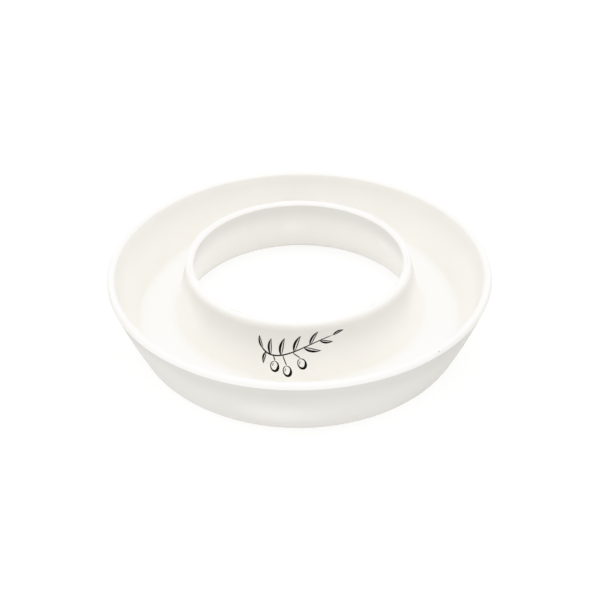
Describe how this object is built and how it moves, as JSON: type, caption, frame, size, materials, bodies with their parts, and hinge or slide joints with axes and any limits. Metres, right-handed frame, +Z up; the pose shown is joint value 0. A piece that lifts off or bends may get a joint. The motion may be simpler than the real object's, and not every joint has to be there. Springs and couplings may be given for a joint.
{
  "type": "ring-shaped olive dish",
  "caption": "Shallow ring-shaped serving dish for olives: a glazed trough between a flared outer wall and a collar round an open centre hole, with rounded rims.",
  "frame": {"origin": "centre of the base, on the table", "axes": "+Z up along the dish's axis; -Y is the front, where the drawing is"},
  "size_m": [0.22, 0.22, 0.0405],
  "materials": {
    "glaze": "glossy warm off-white glaze, thinner and less glossy on the outside, whitest on the rims",
    "biscuit": "matt unglazed stoneware on the two foot rings",
    "print": "near-black line drawing fired onto the glaze"
  },
  "bodies": {
    "root": {"ring_dish": "glaze"}
  },
  "joints": []
}
